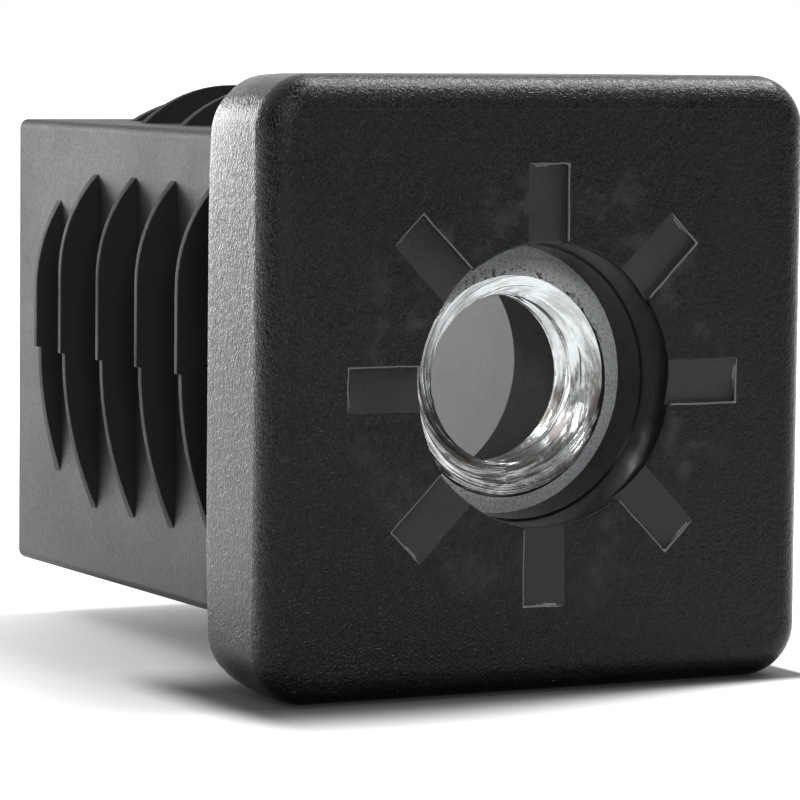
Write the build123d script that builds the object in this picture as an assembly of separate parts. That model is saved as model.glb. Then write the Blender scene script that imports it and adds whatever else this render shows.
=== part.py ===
"""Threaded plug for the end of a square tube: a moulded plastic body and a steel insert.

Frame: the thread's axis is Y and the head faces -Y. The origin is the middle of the threaded
bore. +Z is up, with the plug lying on its side. All lengths are in millimetres.
"""
from build123d import *
import math
import os

# Head
HEAD_WIDTH = 25.0
HEAD_THICKNESS = 5.6
HEAD_CORNER_RADIUS = 2.2
HEAD_EDGE_RADIUS = 1.3

# Stem, the hollow square part that goes into the tube
STEM_WIDTH = 20.0
STEM_LENGTH = 25.6
STEM_WALL = 1.5
STEM_CORNER_RADIUS = 0.4
CAVITY_CORNER_RADIUS = 0.8

# Steel insert
INSERT_ACROSS_FLATS = 12.0
INSERT_THICKNESS = 2.6
INSERT_RIM_RADIUS = 4.3
INSERT_BEVEL_ANGLE = 34.0
THREAD_MINOR_RADIUS = 3.45
THREAD_ENTRY_DEPTH = 0.36
THREAD_EXIT_CHAMFER = 0.1

# Recess in front of the insert, drawn inwards in two tapered steps
RECESS_DEPTH = 3.0
RECESS_MOUTH_RADIUS = 5.75
RECESS_STEP_DEPTH = 2.15
RECESS_STEP_RADIUS = 5.68
RECESS_STEP_LEDGE = 0.07
RECESS_FLOOR_RADIUS = 5.55

# Boss behind the insert
BOSS_LENGTH = 6.95
BOSS_OVERLAP = 0.33
BOSS_BORE_RADIUS = 5.35
BOSS_MOUTH_CHAMFER = 0.15
FRONT_WALL = 2.6

# Ramped pockets round the recess
POCKET_COUNT = 8
POCKET_OUTER_RADIUS = 8.9
POCKET_WIDTH = 1.8
POCKET_DEPTH = 0.28

# Fins
FIN_ROWS = 5
FIN_FIRST = 4.75
FIN_PITCH = 4.07
FIN_TIP_THICKNESS = 0.3
FIN_ROOT_THICKNESS = 0.55
FIN_HEIGHT = 1.7
LAST_FIN_HEIGHT = 1.12
FIN_HALF_CHORD = 7.8
LAST_FIN_HALF_CHORD = 6.5
FIN_STRAIGHT = 3.5
LAST_FIN_STRAIGHT = 2.6
PARTING_STEP = 0.2
PARTING_CHORD_STEP = 0.95

# Places along the axis, worked out from the sizes above
INSERT_FRONT = -INSERT_THICKNESS / 2
INSERT_BACK = INSERT_THICKNESS / 2
HEAD_FRONT = INSERT_FRONT - RECESS_DEPTH
SHOULDER = HEAD_FRONT + HEAD_THICKNESS
STEM_END = SHOULDER + STEM_LENGTH
BOSS_END = SHOULDER + BOSS_LENGTH
CAVITY_WIDTH = STEM_WIDTH - 2 * STEM_WALL
BOSS_RADIUS = CAVITY_WIDTH / 2 + BOSS_OVERLAP
FIN_ROOT_SINK = STEM_WALL / 2


def across(y):
    """A drawing plane square to the thread's axis, at y."""
    return Plane(origin=(0, y, 0), x_dir=(1, 0, 0), z_dir=(0, 1, 0))


def prism(sketch, start, end):
    """Pushes a sketch along the axis from one place to another."""
    return extrude(across(start) * sketch, amount=end - start)


def turned(*points):
    """Turns a closed outline of (radius, y) points about the thread's axis."""
    outline = make_face(Polyline(*points, close=True))
    return revolve(outline, axis=Axis.Y)


def head_block():
    """The square head, with its front edges rounded and its back edges left sharp."""
    outline = RectangleRounded(HEAD_WIDTH, HEAD_WIDTH, HEAD_CORNER_RADIUS)
    block = prism(outline, HEAD_FRONT, SHOULDER)
    front_edges = block.edges().group_by(Axis.Y)[0]
    return fillet(front_edges, HEAD_EDGE_RADIUS)


def stem_block():
    """The stem as a solid square bar, from inside the head to its open end."""
    outline = RectangleRounded(STEM_WIDTH, STEM_WIDTH, STEM_CORNER_RADIUS)
    return prism(outline, (HEAD_FRONT + SHOULDER) / 2, STEM_END)


def cavity():
    """The square hollow of the stem behind the boss."""
    outline = RectangleRounded(CAVITY_WIDTH, CAVITY_WIDTH, CAVITY_CORNER_RADIUS)
    return prism(outline, BOSS_END, STEM_END)


def corner_cores():
    """The four hollows in the corners round the boss, which keep the wall's thickness even."""
    outline = RectangleRounded(CAVITY_WIDTH, CAVITY_WIDTH, CAVITY_CORNER_RADIUS)
    return prism(outline - Circle(BOSS_RADIUS), HEAD_FRONT + FRONT_WALL, BOSS_END)


def boss_bore():
    """The round bore behind the insert, with a broken edge at its mouth."""
    mouth = BOSS_BORE_RADIUS + BOSS_MOUTH_CHAMFER
    return turned(
        (0, INSERT_BACK),
        (BOSS_BORE_RADIUS, INSERT_BACK),
        (BOSS_BORE_RADIUS, BOSS_END - BOSS_MOUTH_CHAMFER),
        (mouth, BOSS_END),
        (0, BOSS_END),
    )


def recess():
    """The tapered recess in front of the insert, with the small ledge half way down."""
    bevel_drop = (RECESS_FLOOR_RADIUS - INSERT_RIM_RADIUS) * math.tan(math.radians(INSERT_BEVEL_ANGLE))
    ledge = HEAD_FRONT + RECESS_STEP_DEPTH
    floor = INSERT_FRONT + bevel_drop
    return turned(
        (0, HEAD_FRONT),
        (RECESS_MOUTH_RADIUS, HEAD_FRONT),
        (RECESS_STEP_RADIUS, ledge),
        (RECESS_STEP_RADIUS - RECESS_STEP_LEDGE, ledge),
        (RECESS_FLOOR_RADIUS, floor),
        (0, floor),
    )


def pocket():
    """One ramped pocket above the recess: flush at its left side, deepest at its right side."""
    slope = POCKET_DEPTH / POCKET_WIDTH
    half = POCKET_WIDTH / 2
    spare = POCKET_WIDTH / 4
    start = RECESS_MOUTH_RADIUS / 2
    section = Polyline(
        (-half - spare, HEAD_FRONT - spare * slope),
        (half, HEAD_FRONT + POCKET_DEPTH),
        (half, HEAD_FRONT - POCKET_WIDTH),
        (-half - spare, HEAD_FRONT - POCKET_WIDTH),
        close=True,
    )
    return Pos(0, 0, start) * extrude(make_face(section), amount=POCKET_OUTER_RADIUS - start)


def pockets():
    """All the ramped pockets, evenly spaced round the recess."""
    return [Rot(0, 360 / POCKET_COUNT * i, 0) * pocket() for i in range(POCKET_COUNT)]


def fin_half(height, half_chord, straight):
    """Half of a fin's face: a straight crest that runs into an arc down to the stem."""
    run = half_chord - straight
    radius = (run**2 + height**2) / (2 * height)
    turn = math.atan2(run, radius - height) / 2
    middle = (straight + radius * math.sin(turn), height - radius + radius * math.cos(turn))
    outline = Polyline((half_chord, 0), (half_chord, -FIN_ROOT_SINK), (0, -FIN_ROOT_SINK), (0, height))
    edges = outline.edges() + ThreePointArc((straight, height), middle, (half_chord, 0)).edges()
    if straight > 0:
        edges += Line((0, height), (straight, height)).edges()
    return make_face(edges)


def fin(upper, lower, full_height):
    """One thin fin lying in X and Y, on a stem side at y = 0, thinner towards its crest."""
    face = fin_half(*upper) + mirror(fin_half(*lower), Plane.YZ)
    root = FIN_ROOT_THICKNESS / 2
    crest = FIN_TIP_THICKNESS / 2
    taper = Polyline(
        (-FIN_ROOT_SINK, -root),
        (0, -root),
        (full_height, -crest),
        (full_height, crest),
        (0, root),
        (-FIN_ROOT_SINK, root),
        close=True,
    )
    blank = extrude(face, amount=FIN_ROOT_THICKNESS / 2, both=True)
    wedge = extrude(Plane.YZ * make_face(taper), amount=STEM_WIDTH / 2, both=True)
    return blank & wedge


def fin_row(y, height, half_chord, straight):
    """The four fins at one place along the stem.

    The mould parts across the middle of the left and right sides, and its lower half makes
    slightly lower and shorter fins than its upper half.
    """
    reach = STEM_WIDTH / 2
    upper = (height, half_chord, straight)
    lower = (height - PARTING_STEP, half_chord - PARTING_CHORD_STEP, 0)
    low_end = (lower[0], lower[1], straight / 2)
    split = fin(upper, lower, height)
    top = fin(upper, upper, height)
    bottom = fin(low_end, low_end, height)
    right = Plane(origin=(reach, y, 0), x_dir=(0, 0, 1), z_dir=(0, 1, 0))
    left = Plane(origin=(-reach, y, 0), x_dir=(0, 0, 1), z_dir=(0, -1, 0))
    above = Plane(origin=(0, y, reach), x_dir=(1, 0, 0), z_dir=(0, -1, 0))
    below = Plane(origin=(0, y, -reach), x_dir=(1, 0, 0), z_dir=(0, 1, 0))
    return [right.location * split, left.location * split, above.location * top, below.location * bottom]


def fins():
    """All the fins. The last row, at the open end, is smaller so that the stem enters the tube."""
    rows = []
    for i in range(FIN_ROWS):
        y = SHOULDER + FIN_FIRST + FIN_PITCH * i
        if i < FIN_ROWS - 1:
            rows += fin_row(y, FIN_HEIGHT, FIN_HALF_CHORD, FIN_STRAIGHT)
        else:
            rows += fin_row(y, LAST_FIN_HEIGHT, LAST_FIN_HALF_CHORD, LAST_FIN_STRAIGHT)
    return rows


def insert_blank():
    """The steel insert before boring: a hexagon whose front is beveled down from a round rim."""
    corner_radius = INSERT_ACROSS_FLATS / math.sqrt(3)
    bevel_drop = (corner_radius - INSERT_RIM_RADIUS) * math.tan(math.radians(INSERT_BEVEL_ANGLE))
    hexagon = prism(RegularPolygon(INSERT_ACROSS_FLATS / 2, 6, major_radius=False), INSERT_FRONT, INSERT_BACK)
    bevel = turned(
        (0, INSERT_FRONT),
        (INSERT_RIM_RADIUS, INSERT_FRONT),
        (corner_radius, INSERT_FRONT + bevel_drop),
        (corner_radius, INSERT_BACK),
        (0, INSERT_BACK),
    )
    return hexagon & bevel


def thread_bore():
    """The bore at the thread's crest, with a wide countersink from the rim and a small exit chamfer."""
    return turned(
        (0, INSERT_FRONT),
        (INSERT_RIM_RADIUS, INSERT_FRONT),
        (THREAD_MINOR_RADIUS, INSERT_FRONT + THREAD_ENTRY_DEPTH),
        (THREAD_MINOR_RADIUS, INSERT_BACK - THREAD_EXIT_CHAMFER),
        (THREAD_MINOR_RADIUS + THREAD_EXIT_CHAMFER, INSERT_BACK),
        (0, INSERT_BACK),
    )


def plug_body():
    """The moulded body, shaped round the insert that it holds."""
    body = head_block() + stem_block()
    body += fins()
    body -= [cavity(), corner_cores(), boss_bore(), recess(), insert_blank()]
    body -= pockets()
    return body


def threaded_insert():
    """The steel insert with its bore."""
    return insert_blank() - thread_bore()


def main():
    os.makedirs("parts", exist_ok=True)
    export_step(plug_body(), "parts/plug_body.step")
    export_step(threaded_insert(), "parts/threaded_insert.step")


main()
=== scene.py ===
"""Looks of a threaded plug for the end of a square tube: its finishes, thread and studio.

Attributes are in millimetres, and angles among them in degrees, unless a line says otherwise.
"""
import logging
import math
from dataclasses import dataclass
from enum import Enum
from functools import lru_cache
from typing import Any

import bmesh
import bpy
from mathutils import Matrix, Vector, noise


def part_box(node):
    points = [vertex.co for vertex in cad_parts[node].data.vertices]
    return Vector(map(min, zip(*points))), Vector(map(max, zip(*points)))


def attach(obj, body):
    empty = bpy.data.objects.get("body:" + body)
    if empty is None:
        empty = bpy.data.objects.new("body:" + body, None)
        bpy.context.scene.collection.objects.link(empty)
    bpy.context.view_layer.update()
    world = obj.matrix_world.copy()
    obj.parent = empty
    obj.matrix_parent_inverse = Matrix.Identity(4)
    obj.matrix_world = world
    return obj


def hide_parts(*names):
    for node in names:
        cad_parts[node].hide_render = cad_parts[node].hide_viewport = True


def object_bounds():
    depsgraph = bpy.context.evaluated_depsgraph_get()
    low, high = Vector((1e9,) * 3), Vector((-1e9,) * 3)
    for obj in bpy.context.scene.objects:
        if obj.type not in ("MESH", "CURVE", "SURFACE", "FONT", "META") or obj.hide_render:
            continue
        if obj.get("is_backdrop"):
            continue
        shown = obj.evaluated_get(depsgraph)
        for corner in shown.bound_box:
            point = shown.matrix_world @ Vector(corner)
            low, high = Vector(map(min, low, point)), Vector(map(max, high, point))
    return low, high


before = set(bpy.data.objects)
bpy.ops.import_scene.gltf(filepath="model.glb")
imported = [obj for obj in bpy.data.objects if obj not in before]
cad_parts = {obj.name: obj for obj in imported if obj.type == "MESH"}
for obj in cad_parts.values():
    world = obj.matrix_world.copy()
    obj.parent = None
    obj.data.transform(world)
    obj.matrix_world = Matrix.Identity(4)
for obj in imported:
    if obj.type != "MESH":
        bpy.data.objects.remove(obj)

LOG = logging.getLogger("threaded_tube_plug")
MM = 0.001
BODY = "root"
AXIS = Vector((0.0, 1.0, 0.0))
WELD = 0.0005 * MM
CUT_SNAP = 1e-7
FLAT = math.radians(0.3)
NEAR = 0.01
WHITE = (1.0, 1.0, 1.0)
Colour = tuple[float, float, float]
Point = tuple[float, float]
Socket = bpy.types.NodeSocket
Node = bpy.types.Node
Tree = bpy.types.NodeTree
Material = bpy.types.Material
Piece = bpy.types.Object
Mesh = bmesh.types.BMesh
Face = bmesh.types.BMFace
Edge = bmesh.types.BMEdge


class Area(Enum):
    """A stretch of the moulded body with a finish of its own."""

    HEAD = 0
    POCKET = 1
    RECESS = 2
    STEM = 3
    FIN = 4
    HOLLOW = 5
    # The pockets' rounded edges, whose pale colour is a painted highlight.
    EDGE = 6
    BORE = 7


class Cut(Enum):
    """A stretch of the steel insert with a finish of its own."""

    BEVEL = 0
    THREAD = 1
    HIDDEN = 2


def mm(*values: float) -> Vector:
    """A point or a step given in millimetres, in metres."""
    return Vector(values) * MM


def radius_of(point: Vector) -> float:
    """How far a point is from the thread's axis."""
    return math.hypot(point.x, point.z)


def reach_of(point: Vector) -> float:
    """How far a point is from the thread's axis, sideways or up, whichever is more."""
    return max(abs(point.x), abs(point.z))


# --- node trees


class Net:
    """Short calls that add the nodes of one tree and join them."""

    def __init__(self, tree: Tree) -> None:
        self.tree = tree

    def add(self, kind: str, **settings: Any) -> Node:
        """Adds a node.

        Args:
            kind: The node's type, without the word ShaderNode.
            settings: Its properties.

        Returns:
            The new node.
        """
        node = self.tree.nodes.new("ShaderNode" + kind)
        for name, value in settings.items():
            setattr(node, name, value)
        return node

    def put(self, socket: Socket, value: Any) -> None:
        """Links a socket to an input, or sets the input to a plain value."""
        if isinstance(value, Socket):
            self.tree.links.new(value, socket)
        else:
            socket.default_value = value

    def fill(self, node: Node, *values: Any) -> Node:
        """Puts values into a node's first inputs, in order, and gives the node back."""
        for socket, value in zip(node.inputs, values):
            self.put(socket, value)
        return node

    def feed(self, node: Node, **values: Any) -> Node:
        """Puts values into a node's inputs by name, with _ for a space, and gives the node back."""
        for name, value in values.items():
            self.put(node.inputs[name.replace("_", " ")], value)
        return node

    def math(self, operation: str, *values: Any) -> Socket:
        """A Math node's result."""
        return self.fill(self.add("Math", operation=operation), *values).outputs[0]

    def times(self, first: Any, *others: Any) -> Socket:
        """The product of some numbers."""
        for other in others:
            first = self.math("MULTIPLY", first, other)
        return first

    def apart(self, first: Any, second: Any) -> Socket:
        """How far apart two numbers are."""
        return self.math("ABSOLUTE", self.math("SUBTRACT", first, second))

    def past(self, value: Any, middle: float, reach: float) -> Socket:
        """How far a number is past a stretch to both sides of a middle, or 0 within it."""
        return self.math("MAXIMUM", self.math("SUBTRACT", self.apart(value, middle), reach), 0.0)

    def vector(self, operation: str, *values: Any) -> Socket:
        """A Vector Math node's vector."""
        return self.fill(self.add("VectorMath", operation=operation), *values).outputs["Vector"]

    def length(self, vector: Any) -> Socket:
        """A vector's length."""
        return self.fill(self.add("VectorMath", operation="LENGTH"), vector).outputs["Value"]

    def scaled(self, vector: Any, factor: float) -> Socket:
        """A vector times a number."""
        node = self.fill(self.add("VectorMath", operation="SCALE"), vector)
        return self.feed(node, Scale=factor).outputs["Vector"]

    def split(self, vector: Any) -> list[Socket]:
        """The X, Y and Z of a vector."""
        return list(self.fill(self.add("SeparateXYZ"), vector).outputs)

    def join(self, *values: Any) -> Socket:
        """A vector from its X, Y and Z."""
        return self.fill(self.add("CombineXYZ"), *values).outputs[0]

    def noise(self, vector: Any, scale: Any, detail: float = 2.0, rough: float = 0.5) -> Socket:
        """Noise from 0 to 1.

        Args:
            vector: Where it is read.
            scale: Waves for each unit of length.
            detail: How many finer octaves it holds.
            rough: How strong the finer octaves are.

        Returns:
            The noise's value.
        """
        values = {"Vector": vector, "Scale": scale, "Detail": detail, "Roughness": rough}
        return self.feed(self.add("TexNoise"), **values).outputs["Fac"]

    def ease(self, value: Any, low: Any, high: Any, to_low: Any = 0.0, to_high: Any = 1.0) -> Socket:
        """A smooth step.

        Args:
            value: What is mapped.
            low: The value at which the step starts.
            high: The value at which it ends.
            to_low: The result up to low.
            to_high: The result past high.

        Returns:
            The mapped value.
        """
        node = self.add("MapRange", interpolation_type="SMOOTHSTEP")
        return self.fill(node, value, low, high, to_low, to_high).outputs["Result"]

    def mixed(self, kind: str, factor: Any, first: Any, second: Any) -> Socket:
        """A Mix node's result, for the kind of socket Float or Color."""
        node = self.add("Mix", data_type="RGBA" if kind == "Color" else "FLOAT")
        for name, value in (("Factor_Float", factor), ("A_" + kind, first), ("B_" + kind, second)):
            self.put(next(s for s in node.inputs if s.identifier == name), value)
        return next(s for s in node.outputs if s.identifier == "Result_" + kind)

    def mix(self, factor: Any, first: Any, second: Any) -> Socket:
        """One number blended into another."""
        return self.mixed("Float", factor, first, second)

    def blend(self, factor: Any, first: Any, second: Any) -> Socket:
        """One colour blended into another."""
        ends = [(*end, 1.0) if isinstance(end, tuple) else end for end in (first, second)]
        return self.mixed("Color", factor, *ends)

    def call(self, group: Tree, **values: Any) -> Node:
        """Places a node group and feeds its inputs by name."""
        return self.feed(self.add("Group", node_tree=group), **values)

    def bump(self, height: Any) -> Socket:
        """A normal bent by a height in millimetres."""
        return self.feed(self.add("Bump"), Strength=1.0, Distance=MM, Height=height).outputs["Normal"]


def new_group(name: str, inputs: list[str], outputs: list[str]) -> tuple[Net, Any, Node]:
    """Starts a shader node group that works on a place.

    Args:
        name: The group's name.
        inputs: The names of the numbers it takes besides the place.
        outputs: The names of the numbers it gives.

    Returns:
        The tree's helper, the inputs' sockets by name, and the node that takes the outputs.
    """
    tree = bpy.data.node_groups.new(name, "ShaderNodeTree")
    tree.interface.new_socket(name="Place", in_out="INPUT", socket_type="NodeSocketVector")
    for way, labels in (("INPUT", inputs), ("OUTPUT", outputs)):
        for label in labels:
            tree.interface.new_socket(name=label, in_out=way, socket_type="NodeSocketFloat")
    entry = tree.nodes.new("NodeGroupInput")
    return Net(tree), entry.outputs, tree.nodes.new("NodeGroupOutput")


@lru_cache
def grain_group() -> Tree:
    """The grain that a spark-eroded mould leaves: small lumps with short wrinkles between them."""
    net, entry, way_out = new_group("mould_grain", ["Size", "Depth"], ["Height", "Hollow"])
    place = entry["Place"]
    waves = net.math("DIVIDE", 1.0, entry["Size"])
    drift = net.feed(net.add("TexNoise"), Vector=place, Scale=net.times(waves, 0.6))
    warped = net.vector("ADD", place, net.scaled(drift.outputs["Color"], 0.35))
    lumps = net.noise(warped, waves, 3.0, 0.55)
    drawn = net.vector("MULTIPLY", warped, (1.0, 1.0, 0.55))
    folds = net.noise(drawn, net.times(waves, 1.7), 1.0)
    crease = net.ease(net.apart(folds, 0.5), 0.0, 0.12)
    height = net.times(net.math("MULTIPLY_ADD", crease, 0.5, lumps), entry["Depth"])
    net.feed(way_out, Height=height, Hollow=net.math("SUBTRACT", 1.0, crease))
    return net.tree


@lru_cache
def smoke_group() -> Tree:
    """Faint cloudy patches, as cooling and handling leave on a moulding."""
    net, entry, way_out = new_group("cooling_clouds", ["Size"], ["Cloud"])
    waves = net.math("DIVIDE", 1.0, entry["Size"])
    cloud = net.noise(entry["Place"], waves, 4.0, 0.6)
    net.feed(way_out, Cloud=net.ease(cloud, 0.3, 0.7))
    return net.tree


@lru_cache
def line_group() -> Tree:
    """Fine parallel tool lines along one coordinate, which fade in and out."""
    net, entry, way_out = new_group("tool_lines", ["Across", "Spacing", "Depth"], ["Height", "Line"])
    sway = net.noise(entry["Place"], 0.35, 1.0)
    across = net.math("DIVIDE", entry["Across"], entry["Spacing"])
    across = net.math("MULTIPLY_ADD", sway, 0.8, across)
    lines = net.add("TexNoise", noise_dimensions="1D")
    net.feed(lines, W=across, Scale=1.0, Detail=3.0, Roughness=0.7)
    fade = net.ease(net.noise(entry["Place"], 0.8, 2.0), 0.3, 0.65)
    line = net.times(lines.outputs["Fac"], net.mix(fade, 0.35, 1.0))
    net.feed(way_out, Height=net.times(line, entry["Depth"]), Line=line)
    return net.tree


@lru_cache
def polar_group() -> Tree:
    """The radius, the turn and the depth of a place about the thread's axis."""
    net, entry, way_out = new_group("about_axis", [], ["Radius", "Turn", "Depth"])
    x, y, z = net.split(entry["Place"])
    radius = net.length(net.join(x, 0.0, z))
    net.feed(way_out, Radius=radius, Turn=net.math("ARCTAN2", x, z), Depth=y)
    return net.tree


def new_material(name: str) -> tuple[Material, Net, Node, Socket]:
    """Starts a node material.

    Args:
        name: The material's name.

    Returns:
        The material, its tree's helper, its Principled shader and the place on the piece in millimetres.
    """
    material = bpy.data.materials.new(name)
    material.use_nodes = True
    material.node_tree.nodes.clear()
    net = Net(material.node_tree)
    shader = net.add("BsdfPrincipled")
    net.feed(net.add("OutputMaterial"), Surface=shader.outputs["BSDF"])
    place = net.scaled(net.add("TexCoord").outputs["Object"], 1 / MM)
    return material, net, shader, place


# --- finishes


@dataclass(frozen=True)
class MouldedPlastic:
    """Black polypropylene, with the texture that one part of the mould gives it.

    Attributes:
        name: The material's name.
        colour: Its colour.
        gloss: The roughness of its smoothest and its dullest patches.
        grain_size: The size of the mould's grain.
        grain_depth: The depth of the grain.
        line_depth: The depth of the draw lines.
        line_spacing: How far apart the draw lines are.
        index: The plastic's index of refraction.
        cloud_size: The size of its cloudy patches.
        cloud_tone: How much paler than the rest the palest patches are.
        rubbed_colour: Its colour where it is rubbed.
    """

    name: str
    colour: Colour = (0.006, 0.0063, 0.007)
    gloss: Point = (0.2, 0.29)
    grain_size: float = 0.22
    grain_depth: float = 0.02
    line_depth: float = 0.0
    line_spacing: float = 0.12
    index: float = 1.38
    cloud_size: float = 5.0
    cloud_tone: float = 1.45
    rubbed_colour: Colour = (0.022, 0.023, 0.025)

    def depth(self, net: Net, place: Socket) -> Any:
        """How deep the grain is at a place."""
        return self.grain_depth

    def lines(self, net: Net, place: Socket) -> Socket:
        """The coordinate that the draw lines run across."""
        return net.split(place)[1]

    def marks(self, net: Net, place: Socket) -> Any:
        """The height of any other marks at a place, in millimetres."""
        return 0.0

    def rubbed(self, net: Net, place: Socket) -> Any:
        """Where the surface is rubbed pale, from 0 to 1."""
        return 0.0

    def duller(self, net: Net, place: Socket) -> Any:
        """How much rougher than elsewhere the surface is at a place."""
        return 0.0

    def material(self) -> Material:
        """Builds the material."""
        material, net, shader, place = new_material(self.name)
        grain = net.call(grain_group(), Place=place, Size=self.grain_size, Depth=self.depth(net, place))
        cloud = net.call(smoke_group(), Place=place, Size=self.cloud_size).outputs["Cloud"]
        height = grain.outputs["Height"]
        if self.line_depth > 0:
            lines = net.call(
                line_group(), Place=place, Across=self.lines(net, place),
                Spacing=self.line_spacing, Depth=self.line_depth,
            )
            height = net.math("ADD", height, lines.outputs["Height"])
        height = net.math("ADD", height, self.marks(net, place))
        tone = net.blend(cloud, self.colour, tuple(part * self.cloud_tone for part in self.colour))
        rubbed = self.rubbed(net, place)
        dull = net.math("ADD", net.mix(cloud, *self.gloss), self.duller(net, place))
        dull = net.math("MULTIPLY_ADD", grain.outputs["Hollow"], 0.08, dull)
        net.feed(
            shader, Base_Color=net.blend(rubbed, tone, self.rubbed_colour), Normal=net.bump(height),
            Roughness=net.math("MULTIPLY_ADD", rubbed, 0.12, dull), IOR=self.index,
        )
        return material


@dataclass(frozen=True)
class HeadPlastic(MouldedPlastic):
    """The head's plastic: nearly smooth on its face and grained on its rounded edges and sides.

    Attributes:
        face_depth: The depth of the grain on the face.
        face_swell: How many times deeper it gets towards the lower left corner.
        face_dull: How much rougher the face is than the sides.
        face_y: Where the face is along the axis.
        edge_radius: The radius of the head's front edges.
        half: Half the head's width.
        corner_radius: The radius of the head's outline at its corners.
        witness_height: The height of the mould's fine line round the face.
    """

    face_depth: float = 0.024
    face_swell: float = 2.8
    face_dull: float = 0.17
    face_y: float = -4.3
    edge_radius: float = 1.3
    half: float = 12.5
    corner_radius: float = 2.2
    witness_height: float = 0.012

    def depth(self, net: Net, place: Socket) -> Any:
        """How deep the grain is at a place."""
        x, y, z = net.split(place)
        corner = net.times(net.math("ADD", x, z), -1.0)
        face = net.ease(corner, 0.0, 16.0, self.face_depth, self.face_depth * self.face_swell)
        return net.ease(y, self.face_y, self.face_y + self.edge_radius, face, self.grain_depth)

    def rubbed(self, net: Net, place: Socket) -> Any:
        """The smoky, rubbed patches between the pockets."""
        radius = net.call(polar_group(), Place=place).outputs["Radius"]
        inner, outer = net.ease(radius, 5.8, 6.3), net.ease(radius, 7.5, 10.0, 1.0, 0.0)
        patches = net.ease(net.noise(place, 0.55, 4.0, 0.62), 0.5, 0.68)
        near = net.ease(net.split(place)[1], self.face_y, self.face_y + 0.1, 1.0, 0.0)
        return net.times(inner, outer, patches, near)

    def duller(self, net: Net, place: Socket) -> Any:
        """The face is duller than the head's sides."""
        return net.ease(net.split(place)[1], self.face_y, self.face_y + 0.5, self.face_dull, 0.0)

    def marks(self, net: Net, place: Socket) -> Any:
        """The fine line that the mould's insert leaves round the face."""
        x, _, z = net.split(place)
        straight = self.half - self.corner_radius
        corner = net.join(net.past(x, 0.0, straight), 0.0, net.past(z, 0.0, straight))
        inset = net.math("SUBTRACT", self.corner_radius, net.length(corner))
        wander = net.math("MULTIPLY_ADD", net.noise(place, 0.4, 2.0), 0.12, inset)
        line = net.ease(net.apart(wander, self.edge_radius + 0.1), 0.0, 0.09, 1.0, 0.0)
        strength = net.ease(net.noise(place, 0.25, 1.0), 0.3, 0.7, 0.3, 1.0)
        return net.times(line, strength, self.witness_height)


@dataclass(frozen=True)
class WallPlastic(MouldedPlastic):
    """The polished wall of the recess, with faint lines round it."""

    def lines(self, net: Net, place: Socket) -> Socket:
        """The coordinate that the draw lines run across."""
        return net.times(net.call(polar_group(), Place=place).outputs["Turn"], 5.5)


@dataclass(frozen=True)
class ZincSteel:
    """Zinc-plated steel as it left the press, frosty and pitted.

    Attributes:
        name: The material's name.
        bright: The colour of the clean metal.
        dark: The colour in its pits.
        gloss: Its roughness.
        metal: How far it shines as a metal, from 0 to 1.
        grain_size: The size of its grain.
        grain_depth: The depth of its grain.
        torn_radius: The radius of the rim whose plating is torn.
        turned_radius: The radius of the zone that the tool has turned bright.
        turned_drop: How far the tool ran below the axis.
        turned_colour: The colour of that zone.
        turned_gloss: The roughness of that zone.
        torn_colour: The colour where the plating is torn.
    """

    name: str
    bright: Colour = (0.88, 0.91, 0.93)
    dark: Colour = (0.46, 0.48, 0.5)
    gloss: float = 0.6
    metal: float = 0.5
    grain_size: float = 0.1
    grain_depth: float = 0.03
    torn_radius: float = 4.42
    turned_radius: float = 4.57
    turned_drop: float = 0.3
    turned_colour: Colour = (0.86, 0.86, 0.85)
    turned_gloss: float = 0.22
    torn_colour: Colour = (0.06, 0.06, 0.06)

    def torn(self, net: Net, place: Any, polar: Node) -> Socket:
        """Where the plating along the rim is torn and dark."""
        band = net.ease(net.apart(polar.outputs["Radius"], self.torn_radius), 0.1, 0.32, 1.0, 0.0)
        turn = net.apart(polar.outputs["Turn"], math.radians(30))
        reach = net.ease(turn, math.radians(45), math.radians(75), 1.0, 0.0)
        ragged = net.ease(net.noise(place, 4.5, 4.0, 0.7), 0.52, 0.6)
        return net.times(band, reach, ragged)

    def turned(self, net: Net, place: Any) -> Socket:
        """Where the tool has turned the bevel bright, lower than the axis."""
        x, _, z = net.split(place)
        radius = net.length(net.join(x, 0.0, net.math("ADD", z, self.turned_drop)))
        return net.ease(radius, self.turned_radius - 0.02, self.turned_radius + 0.02, 1.0, 0.0)

    def material(self) -> Material:
        """Builds the material."""
        material, net, shader, place = new_material(self.name)
        polar = net.call(polar_group(), Place=place)
        grain = net.call(grain_group(), Place=place, Size=self.grain_size, Depth=self.grain_depth)
        lines = net.call(
            line_group(), Place=place, Across=polar.outputs["Radius"], Spacing=0.14, Depth=0.05
        )
        pits = net.ease(net.noise(place, 11.0, 3.0, 0.65), 0.33, 0.56)
        turned = self.turned(net, place)
        tone = net.blend(turned, net.blend(pits, self.dark, self.bright), self.turned_colour)
        tone = net.blend(self.torn(net, place, polar), tone, self.torn_colour)
        frosty = net.mix(pits, self.gloss + 0.1, self.gloss)
        height = net.mix(turned, grain.outputs["Height"], lines.outputs["Height"])
        net.feed(
            shader, Base_Color=tone, Roughness=net.mix(turned, frosty, self.turned_gloss),
            Metallic=net.mix(turned, self.metal, 1.0), Normal=net.bump(height),
        )
        return material


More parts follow.
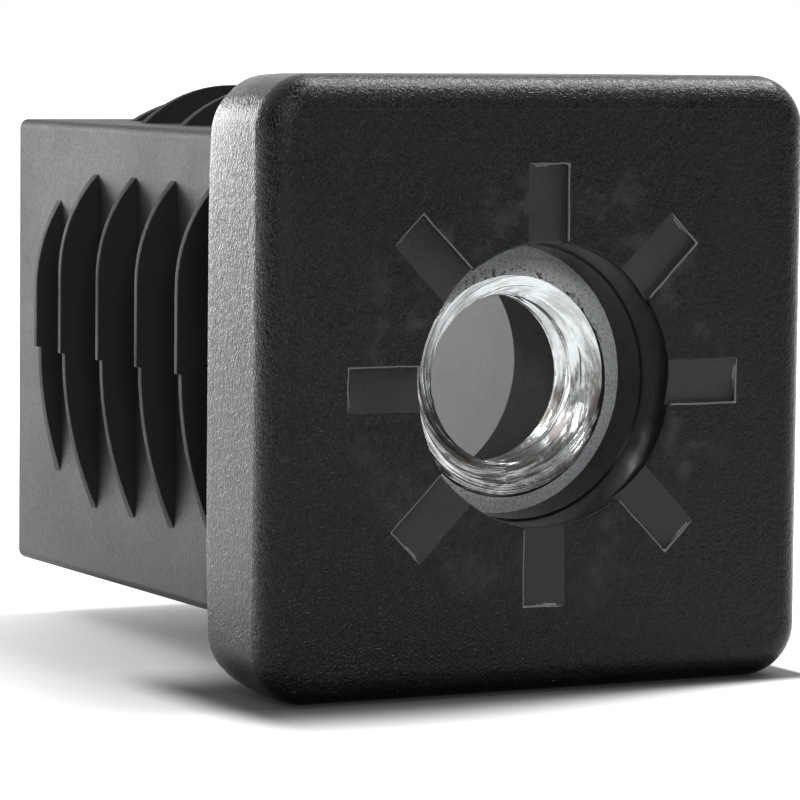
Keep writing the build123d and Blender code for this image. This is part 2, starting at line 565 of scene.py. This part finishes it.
@dataclass(frozen=True)
class CutSteel(ZincSteel):
    """Steel that a tool has turned or tapped, with its lines running round the axis.

    Attributes:
        line_spacing: How far apart the lines are.
        line_depth: How deep the lines are.
        pitch: The thread's pitch, which the lines follow.
        stretch: How many times longer than wide the dark streaks are.
    """

    bright: Colour = (0.8, 0.86, 0.87)
    dark: Colour = (0.17, 0.16, 0.15)
    gloss: float = 0.16
    metal: float = 1.0
    line_spacing: float = 0.1
    line_depth: float = 0.035
    pitch: float = 1.25
    stretch: float = 14.0

    def material(self) -> Material:
        """Builds the material."""
        material, net, shader, place = new_material(self.name)
        polar = net.call(polar_group(), Place=place)
        lead = net.times(polar.outputs["Turn"], self.pitch / (2 * math.pi))
        along = net.math("SUBTRACT", polar.outputs["Depth"], lead)
        across = net.math("ADD", along, net.times(polar.outputs["Radius"], 0.83))
        lines = net.call(
            line_group(), Place=place, Across=across, Spacing=self.line_spacing, Depth=self.line_depth
        )
        x, _, z = net.split(place)
        drawn = net.join(x, net.times(across, self.stretch), z)
        torn = net.ease(net.noise(drawn, 0.55, 4.0, 0.65), 0.42, 0.62)
        # The streaks are stronger towards the bottom, so the thread is darker and rougher there.
        bottom_weight = net.ease(z, -1.5, 2.5, 1.0, 0.4)
        streak = net.times(net.math("MULTIPLY_ADD", lines.outputs["Line"], 0.5, torn), bottom_weight)
        net.feed(
            shader, Base_Color=net.blend(streak, self.bright, self.dark), Metallic=self.metal,
            Roughness=net.mix(streak, self.gloss, self.gloss + 0.2),
            Normal=net.bump(lines.outputs["Height"]),
        )
        return material


# --- meshes


def node_copy(name: str) -> Mesh:
    """A CAD node's mesh with its loose triangles merged into flat faces.

    Args:
        name: The node.

    Returns:
        A new mesh to work on.
    """
    mesh = bmesh.new()
    mesh.from_mesh(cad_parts[name].data)
    bmesh.ops.remove_doubles(mesh, verts=mesh.verts, dist=WELD)
    bmesh.ops.dissolve_limit(
        mesh, angle_limit=FLAT, use_dissolve_boundaries=False, verts=mesh.verts, edges=mesh.edges
    )
    mesh.normal_update()
    return mesh


def slice_off(mesh: Mesh, place: Vector, way: Vector) -> None:
    """Cuts away what lies past a plane, and closes the cut.

    Args:
        mesh: The mesh.
        place: A point on the plane, in metres.
        way: The plane's normal, towards the part that goes.
    """
    geometry = mesh.verts[:] + mesh.edges[:] + mesh.faces[:]
    cut = bmesh.ops.bisect_plane(
        mesh, geom=geometry, dist=CUT_SNAP, plane_co=place, plane_no=way, clear_outer=True
    )
    edges = [item for item in cut["geom_cut"] if isinstance(item, Edge)]
    bmesh.ops.edgenet_fill(mesh, edges=edges)


def finished(mesh: Mesh, name: str, materials: list[Material]) -> Piece:
    """Turns a mesh into a piece of the scene.

    Args:
        mesh: The mesh, which is freed.
        name: The piece's name.
        materials: Its materials, in the order of its faces' indices.

    Returns:
        The new object, at the origin.
    """
    data = bpy.data.meshes.new(name)
    mesh.to_mesh(data)
    mesh.free()
    for material in materials:
        data.materials.append(material)
    piece = bpy.data.objects.new(name, data)
    bpy.context.scene.collection.objects.link(piece)
    return piece


def apply_modifiers(piece: Piece) -> None:
    """Makes a piece's modifiers part of its mesh."""
    old = piece.data
    result = piece.evaluated_get(bpy.context.evaluated_depsgraph_get())
    piece.data = bpy.data.meshes.new_from_object(result)
    piece.modifiers.clear()
    bpy.data.meshes.remove(old)


def soften(mesh: Mesh, sharp: float) -> None:
    """Smooths a mesh's faces and keeps its edges over an angle sharp."""
    for face in mesh.faces:
        face.smooth = True
    for edge in mesh.edges:
        edge.smooth = edge.calc_face_angle(0.0) < sharp


def fan(loop: bmesh.types.BMLoop) -> list[Face]:
    """The faces round a corner's vertex that meet its face across smooth edges."""
    vert = loop.vert
    found = [loop.face]
    for face in found:
        for edge in face.edges:
            if edge.smooth and vert in edge.verts:
                found += [other for other in edge.link_faces if other not in found]
    return found


def level_normals(piece: Piece, sharp: float) -> None:
    """Gives each corner the mean of its smooth faces by area, so that flat faces shade flat.

    Args:
        piece: The piece.
        sharp: The angle from which an edge stays sharp, in radians.
    """
    mesh = bmesh.new()
    mesh.from_mesh(piece.data)
    soften(mesh, sharp)
    areas = {face: face.calc_area() for face in mesh.faces}
    normals = []
    for face in mesh.faces:
        for loop in face.loops:
            total = sum((other.normal * areas[other] for other in fan(loop)), Vector())
            normals.append(total.normalized() if total.length > 0 else face.normal)
    mesh.to_mesh(piece.data)
    mesh.free()
    piece.data.normals_split_custom_set([tuple(normal) for normal in normals])


# --- the pieces


@dataclass
class PlugBody:
    """The moulded body, with the small roundings of its edges.

    Attributes:
        head_thickness: The head's thickness.
        recess_radius: The radius of the recess's mouth.
        bore_radius: The radius of the bore behind the insert.
        stem_width: The stem's width.
        stem_wall: The stem's wall.
        pocket_reach: How far the pockets reach from the axis.
        sharp_edge: The rounding of a sharp moulded edge.
        rim_edge: The rounding of the head's back rim.
        mouth_edge: The rounding of the recess's mouth.
        pocket_edge: The rounding of the pockets' edges.
        corner_sink: How far the head's back corners have sunk.
        sink_reach: How far from the corners along the rim they have sunk.
        sink_depth: How far in front of the rim they have sunk.
        rim_cuts: Where the rim is cut finer for that, measured from its ends.
        side_cuts: Where the sides are cut finer for that, measured from the rim.
        ragged: How far the pockets' edges wander.
        seed: The seed of that wandering.
        least_angle: The least angle of an edge that is rounded.
        smooth_angle: The angle from which an edge stays sharp to the eye.
    """

    head_thickness: float = 5.6
    recess_radius: float = 5.75
    bore_radius: float = 5.35
    stem_width: float = 20.0
    stem_wall: float = 1.5
    pocket_reach: float = 8.9
    sharp_edge: float = 0.035
    rim_edge: float = 0.08
    mouth_edge: float = 0.16
    pocket_edge: float = 0.07
    corner_sink: float = 0.26
    sink_reach: float = 7.0
    sink_depth: float = 3.4
    rim_cuts: tuple[float, ...] = (0.9, 1.8, 2.8, 4.0, 6.0)
    side_cuts: tuple[float, ...] = (0.6, 1.4, 2.4)
    ragged: float = 0.05
    seed: int = 7
    least_angle: float = 24.0
    smooth_angle: float = 38.0

    def __post_init__(self) -> None:
        """Takes the body's places from the CAD."""
        low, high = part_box("plug_body")
        self.front = low.y / MM
        self.back = high.y / MM
        self.half = high.x / MM
        self.shoulder = self.front + self.head_thickness

    def area(self, face: Face) -> Area:
        """The area that a face belongs to."""
        spot = face.calc_center_median() / MM
        radius = radius_of(spot)
        reach = reach_of(spot)
        inside = self.stem_width / 2 - self.stem_wall + NEAR
        if spot.y > self.shoulder - NEAR and reach > self.stem_width / 2 + 0.005:
            return Area.HEAD if spot.y < self.shoulder + NEAR else Area.FIN
        if radius < self.recess_radius and self.front + 0.02 < spot.y < 0:
            return Area.RECESS
        if self.front + 0.001 < spot.y < self.front + 0.3 and radius < self.pocket_reach + 0.1:
            return Area.POCKET
        if spot.y < self.shoulder - NEAR and reach > inside:
            return Area.HEAD
        if reach > inside:
            return Area.STEM
        if spot.y < self.front + 1:
            return Area.HEAD
        return Area.BORE if radius < self.bore_radius + 0.2 else Area.HOLLOW

    def rounding(self, edge: Edge) -> float:
        """How much an edge is rounded, in millimetres."""
        if edge.calc_face_angle(0.0) < math.radians(self.least_angle):
            return 0.0
        spot = (edge.verts[0].co + edge.verts[1].co) / 2 / MM
        radius = radius_of(spot)
        reach = reach_of(spot)
        if abs(spot.y - self.shoulder) < NEAR and reach > self.half - 1:
            return self.rim_edge
        in_front = abs(spot.y - self.front) < 0.3
        if in_front and radius < self.recess_radius + 0.05:
            return self.mouth_edge
        if in_front and radius < self.pocket_reach + 0.3:
            return self.pocket_edge
        if radius < self.recess_radius and spot.y < 2:
            return 0.0
        if reach < self.stem_width / 2 - 0.05 and spot.y < self.back - 0.1 and spot.y > self.front + 0.5:
            return 0.0
        return self.sharp_edge

    def wander(self, mesh: Mesh) -> None:
        """Makes the pockets' long edges wander a little, as a worn mould leaves them."""
        long_edges = [
            edge for edge in mesh.edges
            if edge.calc_length() > 0.9 * MM and self.rounding(edge) == self.pocket_edge
        ]
        cut = bmesh.ops.subdivide_edges(mesh, edges=long_edges, cuts=5)
        noise.seed_set(self.seed)
        for vert in cut["geom_inner"]:
            if isinstance(vert, bmesh.types.BMVert):
                drift = noise.noise_vector(vert.co / MM * 1.3) * (self.ragged * MM)
                vert.co.x += drift.x
                vert.co.z += drift.z

    def sink(self, mesh: Mesh) -> None:
        """Draws the head's back corners inwards, as the plastic shrank there."""
        cuts = [(AXIS, self.shoulder - step) for step in self.side_cuts]
        for side in (-1, 1):
            for step in self.rim_cuts:
                for way in (Vector((1, 0, 0)), Vector((0, 0, 1))):
                    cuts.append((way, side * (self.half - step)))
        for way, place in cuts:
            faces = [face for face in mesh.faces if self.on_side(face)]
            geometry = faces + list(dict.fromkeys(edge for face in faces for edge in face.edges))
            geometry += list(dict.fromkeys(vert for face in faces for vert in face.verts))
            bmesh.ops.bisect_plane(
                mesh, geom=geometry, dist=CUT_SNAP, plane_co=way * (place * MM), plane_no=way
            )
        for vert in mesh.verts:
            spot = vert.co / MM
            if spot.y > self.shoulder + NEAR or reach_of(spot) < self.stem_width / 2 + 0.3:
                continue
            deep = max(0.0, 1 - (self.shoulder - spot.y) / self.sink_depth) ** 1.5
            along = self.half - min(abs(spot.x), abs(spot.z))
            corner = max(0.0, 1 - along / self.sink_reach) ** 2
            wave = 0.042 * (1 + noise.noise(spot * 0.35))
            pull = self.corner_sink * (corner + wave) * deep
            vert.co.x -= math.copysign(pull * MM, spot.x) if abs(spot.x) > self.half - 2.2 else 0.0
            vert.co.z -= math.copysign(pull * MM, spot.z) if abs(spot.z) > self.half - 2.2 else 0.0

    def on_side(self, face: Face) -> bool:
        """True if a face is on one of the head's flat sides or its back rim's corners."""
        spot = face.calc_center_median() / MM
        return reach_of(spot) > self.half - 2.3 and self.front + 1.2 < spot.y < self.shoulder - NEAR

    def build(self) -> Piece:
        """Builds the body and dresses it."""
        mesh = node_copy("plug_body")
        self.wander(mesh)
        self.sink(mesh)
        weights = mesh.edges.layers.float.new("bevel_weight_edge")
        for edge in mesh.edges:
            edge[weights] = self.rounding(edge) / self.mouth_edge
        for face in mesh.faces:
            face.material_index = self.area(face).value
        piece = finished(mesh, "plug_body_moulding", self.finishes())
        bevel = piece.modifiers.new("edges", "BEVEL")
        bevel.limit_method = "WEIGHT"
        bevel.width = self.mouth_edge * MM
        bevel.segments = 2
        bevel.use_clamp_overlap = False
        bevel.loop_slide = False
        apply_modifiers(piece)
        for vert in piece.data.vertices:
            vert.co.y = max(vert.co.y, self.front * MM)
        self.paint_edge_highlights(piece)
        level_normals(piece, math.radians(self.smooth_angle))
        return piece

    def paint_edge_highlights(self, piece: Piece) -> None:
        """Sets the pockets' rounded edges apart with a pale colour, a painted highlight where light catches
        them.
        """
        for face in piece.data.polygons:
            spot = face.center / MM
            tilt = -face.normal.y
            shallow = self.front - NEAR < spot.y < self.front + 0.12
            near = self.recess_radius + 0.2 < radius_of(spot) < self.pocket_reach + 0.2
            if shallow and near and 0.2 < tilt < 0.97:
                face.material_index = Area.EDGE.value

    def finishes(self) -> list[Material]:
        """The body's materials, in the order of Area."""
        finishes = (
            HeadPlastic(
                "plastic_head", (0.003, 0.0032, 0.0036), (0.15, 0.22), grain_size=0.27,
                grain_depth=0.0125, index=1.34, face_y=self.front, half=self.half,
            ),
            MouldedPlastic(
                "plastic_pocket", (0.016, 0.0165, 0.0175), (0.4, 0.5), grain_size=0.18, grain_depth=0.012
            ),
            WallPlastic(
                "plastic_recess", gloss=(0.14, 0.2), grain_depth=0.0004, line_depth=0.003, line_spacing=0.15
            ),
            MouldedPlastic("plastic_stem", gloss=(0.44, 0.5), grain_depth=0.0015, line_depth=0.006),
            MouldedPlastic(
                "plastic_fin", (0.003, 0.0031, 0.0033), (0.55, 0.7), grain_depth=0.003, line_depth=0.002
            ),
            MouldedPlastic("plastic_hollow", gloss=(0.3, 0.36), grain_depth=0.001, line_depth=0.002),
            # Pale colour on the pockets' rounded edges: a painted highlight.
            MouldedPlastic("plastic_edge_highlight", (0.1, 0.103, 0.108), (0.24, 0.34), grain_depth=0.004),
            MouldedPlastic(
                "plastic_bore", gloss=(0.75, 0.85), grain_depth=0.002, line_depth=0.004, line_spacing=0.3
            ),
        )
        return [finish.material() for finish in finishes]


@dataclass
class ThreadedInsert:
    """The steel insert: a bevelled hexagon, countersunk and tapped with a right-hand thread.

    Attributes:
        across_flats: The hexagon's width across its flats.
        rim_radius: The radius of the front rim, between bevel and countersink.
        bevel_angle: The bevel's fall from the rim.
        crest_radius: The bore's radius at the thread's crests.
        root_radius: The thread's radius at its roots.
        pitch: The thread's pitch.
        sink_depth: The countersink's depth.
        lip_depth: Where the first groove starts behind the front.
        exit_chamfer: The chamfer of the bore's far end.
        root_phase: Where a root lies along the axis at the top of the bore.
        face_cut: How deep the tool has faced the rim at the bottom.
        face_turn: How far right of the bottom it cut deepest, in radians.
        face_step: How wide its steps are.
        step_depth: How deep its steps are.
        bevel_pits: How rough the bevel is.
        thread_wear: How uneven the thread is.
        segments: How many steps a full turn is made of.
        flank_angle: The slope of the thread's flanks.
        tap_turns: How many turns the tap has.
        smooth_angle: The angle from which an edge stays sharp to the eye.
    """

    across_flats: float = 12.0
    rim_radius: float = 4.3
    bevel_angle: float = 34.0
    crest_radius: float = 3.45
    root_radius: float = 4.0
    pitch: float = 1.25
    sink_depth: float = 0.36
    lip_depth: float = 0.31
    exit_chamfer: float = 0.1
    root_phase: float = 0.32
    face_cut: float = 0.26
    face_turn: float = 0.12
    face_step: float = 0.21
    step_depth: float = 0.03
    bevel_pits: float = 0.02
    thread_wear: float = 0.012
    segments: int = 288
    flank_angle: float = 30.0
    tap_turns: int = 6
    smooth_angle: float = 30.0

    def __post_init__(self) -> None:
        """Takes the insert's places from the CAD."""
        low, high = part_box("threaded_insert")
        self.front = low.y / MM
        self.back = high.y / MM

    def outline(self) -> list[Point]:
        """The (radius, y) corners of the turned blank, round its section."""
        corner = self.across_flats / math.sqrt(3)
        drop = (corner - self.rim_radius) * math.tan(math.radians(self.bevel_angle))
        points = [(self.crest_radius, self.front + self.sink_depth)]
        points += self.steps(points[0], (self.rim_radius, self.front), 6)
        points += self.steps(points[-1], (corner, self.front + drop), 18)
        crest, chamfer = self.crest_radius, self.exit_chamfer
        return [*points, (corner, self.back), (crest + chamfer, self.back), (crest, self.back - chamfer)]

    @staticmethod
    def steps(start: Point, end: Point, count: int) -> list[Point]:
        """Evenly spaced points after start, up to end."""
        shares = (i / count for i in range(1, count + 1))
        return [tuple(a + (b - a) * share for a, b in zip(start, end)) for share in shares]

    def spun(self, points: list[Point], closed: bool, turns: float, lead: float) -> Mesh:
        """Turns an outline about the axis.

        Args:
            points: The outline's (radius, y) points, in millimetres.
            closed: True if the outline is a ring.
            turns: How many turns it makes.
            lead: How far it moves along the axis in a turn, in millimetres.

        Returns:
            The turned mesh.
        """
        mesh = bmesh.new()
        verts = [mesh.verts.new(mm(0, y, radius)) for radius, y in points]
        ends = verts[1:] + verts[:1] if closed else verts[1:]
        edges = [mesh.edges.new(pair) for pair in zip(verts, ends)]
        count = round(self.segments * turns)
        bmesh.ops.spin(
            mesh, geom=verts + edges, cent=(0, 0, 0), axis=AXIS, dvec=AXIS * (lead * MM * turns / count),
            angle=2 * math.pi * turns, steps=count, use_merge=lead == 0, use_duplicate=False,
        )
        bmesh.ops.remove_doubles(mesh, verts=mesh.verts, dist=0.002 * MM)
        bmesh.ops.recalc_face_normals(mesh, faces=mesh.faces)
        return mesh

    def blank(self) -> Mesh:
        """The bored and bevelled hexagon."""
        mesh = self.spun(self.outline(), True, 1.0, 0.0)
        for side in range(6):
            out = Matrix.Rotation(math.radians(60 * side), 3, AXIS) @ Vector((0, 0, 1))
            slice_off(mesh, out * (self.across_flats / 2 * MM), out)
        bmesh.ops.recalc_face_normals(mesh, faces=mesh.faces)
        return mesh

    def tap(self) -> Mesh:
        """The tap: a closed threaded bar, cut square where the first groove starts."""
        core = self.crest_radius - 0.12
        flank = (self.root_radius - core) * math.tan(math.radians(self.flank_angle))
        root = self.pitch / 16
        start = self.root_phase - self.pitch * self.tap_turns / 2
        profile = [(core, -root - flank), (self.root_radius, -root), (self.root_radius, root)]
        profile += [(core, root + flank), (core, -root - flank + self.pitch)]
        points = [(radius, start + y) for radius, y in profile]
        mesh = self.spun(points, False, self.tap_turns, self.pitch)
        for place, outward in ((self.front + self.lip_depth, -1), (self.back + 0.8, 1)):
            slice_off(mesh, mm(0, place, 0), AXIS * outward)
        bmesh.ops.recalc_face_normals(mesh, faces=mesh.faces)
        return mesh

    def cut_of(self, face: Face) -> Cut:
        """The stretch that a face belongs to."""
        spot = face.calc_center_median() / MM
        radius = radius_of(spot)
        if radius < self.rim_radius - 0.002 and spot.y < self.back - 0.002:
            return Cut.THREAD
        return Cut.BEVEL if radius < self.across_flats / 2 - 0.01 else Cut.HIDDEN

    def roughen(self, mesh: Mesh) -> None:
        """Faces the rim flat in fine steps at the bottom, pits the bevel and roughens the thread."""
        for vert in mesh.verts:
            spot = vert.co / MM
            radius = radius_of(spot)
            if radius < 0.1 or spot.y > self.back - 0.05:
                continue
            out = Vector((vert.co.x, 0, vert.co.z)).normalized()
            low = max(0.0, -math.cos(math.atan2(spot.x, spot.z) + self.face_turn)) ** 1.4
            flat = self.front + self.face_cut * low
            if spot.y < flat and radius > self.crest_radius + 0.05:
                step = math.floor(radius / self.face_step) % 2
                vert.co.y = (flat + self.step_depth * step * low) * MM
            if radius > self.rim_radius + 0.01:
                if radius < self.across_flats / 2 - 0.05:
                    vert.co.y += self.bevel_pits * MM * noise.fractal(spot * 3.2, 0.6, 2.2, 3)
            else:
                vert.co += out * (self.thread_wear * MM * noise.fractal(spot * 2.6, 0.7, 2.3, 3))

    def build(self) -> Piece:
        """Builds the insert and dresses it."""
        materials = [
            ZincSteel("steel_bevel").material(),
            CutSteel("steel_thread").material(),
            ZincSteel("steel_plain", grain_depth=0.01).material(),
        ]
        piece = finished(self.blank(), "threaded_insert_steel", materials)
        tool = finished(self.tap(), "tap", [])
        cutting = piece.modifiers.new("thread", "BOOLEAN")
        cutting.operation = "DIFFERENCE"
        cutting.solver = "EXACT"
        cutting.object = tool
        apply_modifiers(piece)
        bpy.data.objects.remove(tool)
        mesh = bmesh.new()
        mesh.from_mesh(piece.data)
        bmesh.ops.remove_doubles(mesh, verts=mesh.verts, dist=0.0008 * MM)
        for face in mesh.faces:
            face.material_index = self.cut_of(face).value
        self.roughen(mesh)
        soften(mesh, math.radians(self.smooth_angle))
        mesh.to_mesh(piece.data)
        mesh.free()
        return piece


# --- the studio


@dataclass
class Studio:
    """A pale floor, soft lights and the camera.

    Attributes:
        azimuth: The camera's angle round the object.
        elevation: The camera's angle above the horizon.
        roll: How far the camera is turned about its own axis.
        distance: From the camera to a point on the thread's axis.
        aim_right: How far right of that point the camera aims.
        aim_up: How far above that point the camera aims.
        lens: The lens.
        middle: The point's place along the axis.
        paper_glow: How brightly the floor glows next to the object, where 1 is white.
        painted_shadow_reach: How far the painted contact shadow along the head's foot spreads.
        glow_span: How far from the object the floor starts to pale and is white.
        front_shine: How much of the glow in front of the object shows in shiny surfaces.
        sensor: The width of the sensor.
        dim_room: The colour of the room behind the camera.
    """

    azimuth: float = -27.45
    elevation: float = 4.87
    roll: float = 0.6
    distance: float = 182.6
    aim_right: float = -3.1
    aim_up: float = -1.06
    lens: float = 197.96
    middle: float = 1.8
    paper_glow: float = 0.12
    painted_shadow_reach: float = 7.5
    glow_span: Point = (8.0, 48.0)
    front_shine: float = 0.1
    sensor: float = 36.0
    dim_room: Colour = (0.06, 0.05, 0.045)

    def camera(self) -> None:
        """Places the camera."""
        a, e = math.radians(self.azimuth), math.radians(self.elevation)
        back = Vector((math.sin(a) * math.cos(e), -math.cos(a) * math.cos(e), math.sin(e)))
        turn = (-back).to_track_quat("-Z", "Y").to_matrix() @ Matrix.Rotation(math.radians(self.roll), 3, "Z")
        right, up = turn.col[0], turn.col[1]
        offset = back * self.distance + right * self.aim_right + up * self.aim_up
        place = mm(0, self.middle, 0) + offset * MM
        data = bpy.data.cameras.new("camera")
        data.lens = self.lens
        data.sensor_width = self.sensor
        data.clip_start = 0.01
        data.clip_end = 20
        camera = bpy.data.objects.new("camera", data)
        camera.matrix_world = Matrix.Translation(place) @ turn.to_4x4()
        bpy.context.scene.collection.objects.link(camera)
        bpy.context.scene.camera = camera

    def softbox(self, name: str, place: Vector, width: float, height: float, level: float) -> None:
        """Adds a softbox that faces the object.

        Args:
            name: Its name.
            place: Where its middle is, in metres.
            width: Its width, in metres.
            height: Its height, in metres.
            level: Its brightness, where 1 is the level of white paper.
        """
        data = bpy.data.lights.new(name, "AREA")
        data.shape = "RECTANGLE"
        data.size = width
        data.size_y = height
        data.energy = level * math.pi * width * height
        light = bpy.data.objects.new(name, data)
        light.matrix_world = Matrix.Translation(place) @ place.to_track_quat("Z", "Y").to_matrix().to_4x4()
        light.visible_camera = False
        bpy.context.scene.collection.objects.link(light)

    def painted_contact_shadow(self, net: Net, place: Any, low: Vector, high: Vector) -> Socket:
        """The painted contact shadow on the floor where the head stands on it, from about 0 to 1.

        Args:
            net: The floor's tree.
            place: The place in millimetres.
            low: The object's low corner.
            high: The object's high corner.

        Returns:
            How much of its colour and glow the floor keeps in the painted shadow.
        """
        x, y, _ = net.split(place)
        half = PlugBody.head_thickness / 2
        beside = net.times(net.past(x, 0.0, high.x / MM), 2.5)
        gap = net.length(net.join(beside, net.past(y, low.y / MM + half, half), 0.0))
        reach = net.ease(x, low.x / MM, high.x / MM, self.painted_shadow_reach, self.painted_shadow_reach / 5)
        return net.ease(net.math("DIVIDE", gap, reach), 0.0, 1.0, 0.04, 1.0)

    def floor(self) -> None:
        """Lays the pale floor under the object, white from some way off."""
        low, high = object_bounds()
        middle = (0, (low.y + high.y) / 2 / MM, low.z / MM)
        mesh = bmesh.new()
        bmesh.ops.create_grid(mesh, x_segments=2, y_segments=2, size=4.0)
        bmesh.ops.translate(mesh, verts=mesh.verts, vec=(0, 0, low.z))
        material, net, shader, place = new_material("floor_paper")
        # Painted contact shadow: the floor's colour and glow darken along the head's foot.
        painted_contact_shadow = self.painted_contact_shadow(net, place, low, high)
        back = net.ease(net.split(place)[1], -40.0, 40.0)
        paper = net.blend(net.noise(place, 0.8, 3.0), (0.8, 0.8, 0.8), (0.82, 0.82, 0.82))
        paper = net.blend(back, (0.5, 0.5, 0.5), paper)
        away = net.length(net.vector("SUBTRACT", place, middle))
        glow = net.ease(away, *self.glow_span, self.paper_glow, 1.0)
        # The camera sees the glow in full, and shiny surfaces see little of it in front of the object.
        path = net.add("LightPath")
        shine = net.math("MAXIMUM", path.outputs["Is Glossy Ray"], path.outputs["Is Transmission Ray"])
        seen = net.times(shine, net.mix(back, self.front_shine, 1.0))
        seen = net.math("ADD", seen, path.outputs["Is Camera Ray"])
        net.feed(
            shader, Base_Color=net.blend(painted_contact_shadow, (0.02, 0.02, 0.02), paper), Roughness=0.7,
            Emission_Color=(*WHITE, 1.0), Emission_Strength=net.times(glow, painted_contact_shadow, seen),
        )
        finished(mesh, "floor", [material])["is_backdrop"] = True

    def world(self) -> None:
        """Lights the room: white behind the object, dim and brown behind the camera."""
        world = bpy.data.worlds.new("room")
        bpy.context.scene.world = world
        world.use_nodes = True
        world.node_tree.nodes.clear()
        net = Net(world.node_tree)
        way = net.add("TexCoord").outputs["Generated"]
        back = net.ease(net.split(way)[1], -0.35, 0.35)
        room = net.blend(back, self.dim_room, WHITE)
        seen = net.add("LightPath").outputs["Is Camera Ray"]
        background = net.feed(net.add("Background"), Color=net.blend(seen, room, WHITE))
        net.feed(net.add("OutputWorld"), Surface=background.outputs[0])

    def build(self) -> None:
        """Builds the studio."""
        self.camera()
        self.world()
        self.floor()
        self.softbox("softbox_above", Vector((0.24, 0.02, 0.43)), 0.34, 0.34, 9.5)
        self.softbox("softbox_behind_left", Vector((-0.097, 0.42, 0.035)), 0.225, 0.19, 6.8)
        self.softbox("softbox_front_left", Vector((-0.28, -0.28, 0.39)), 0.26, 0.26, 2.5)
        self.softbox("softbox_front", Vector((-0.17, -0.45, 0.19)), 0.14, 0.1, 20.0)
        self.softbox("softbox_front_right", Vector((0.26, -0.38, 0.33)), 0.12, 0.12, 4.0)


def main() -> None:
    """Builds the pieces and the studio, and reports each one."""
    logging.basicConfig(level=logging.INFO, format="%(name)s: %(message)s")
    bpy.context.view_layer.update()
    scene = bpy.context.scene
    scene.view_settings.view_transform = "Standard"
    for piece, node, slot in (
        (PlugBody().build(), "plug_body", "moulded_plastic"),
        (ThreadedInsert().build(), "threaded_insert", "zinc_steel"),
    ):
        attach(piece, BODY)
        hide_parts(node)
        LOG.info("%s: %d faces", piece.name, len(piece.data.polygons))
    Studio().build()


if __name__ == "__main__":
    main()
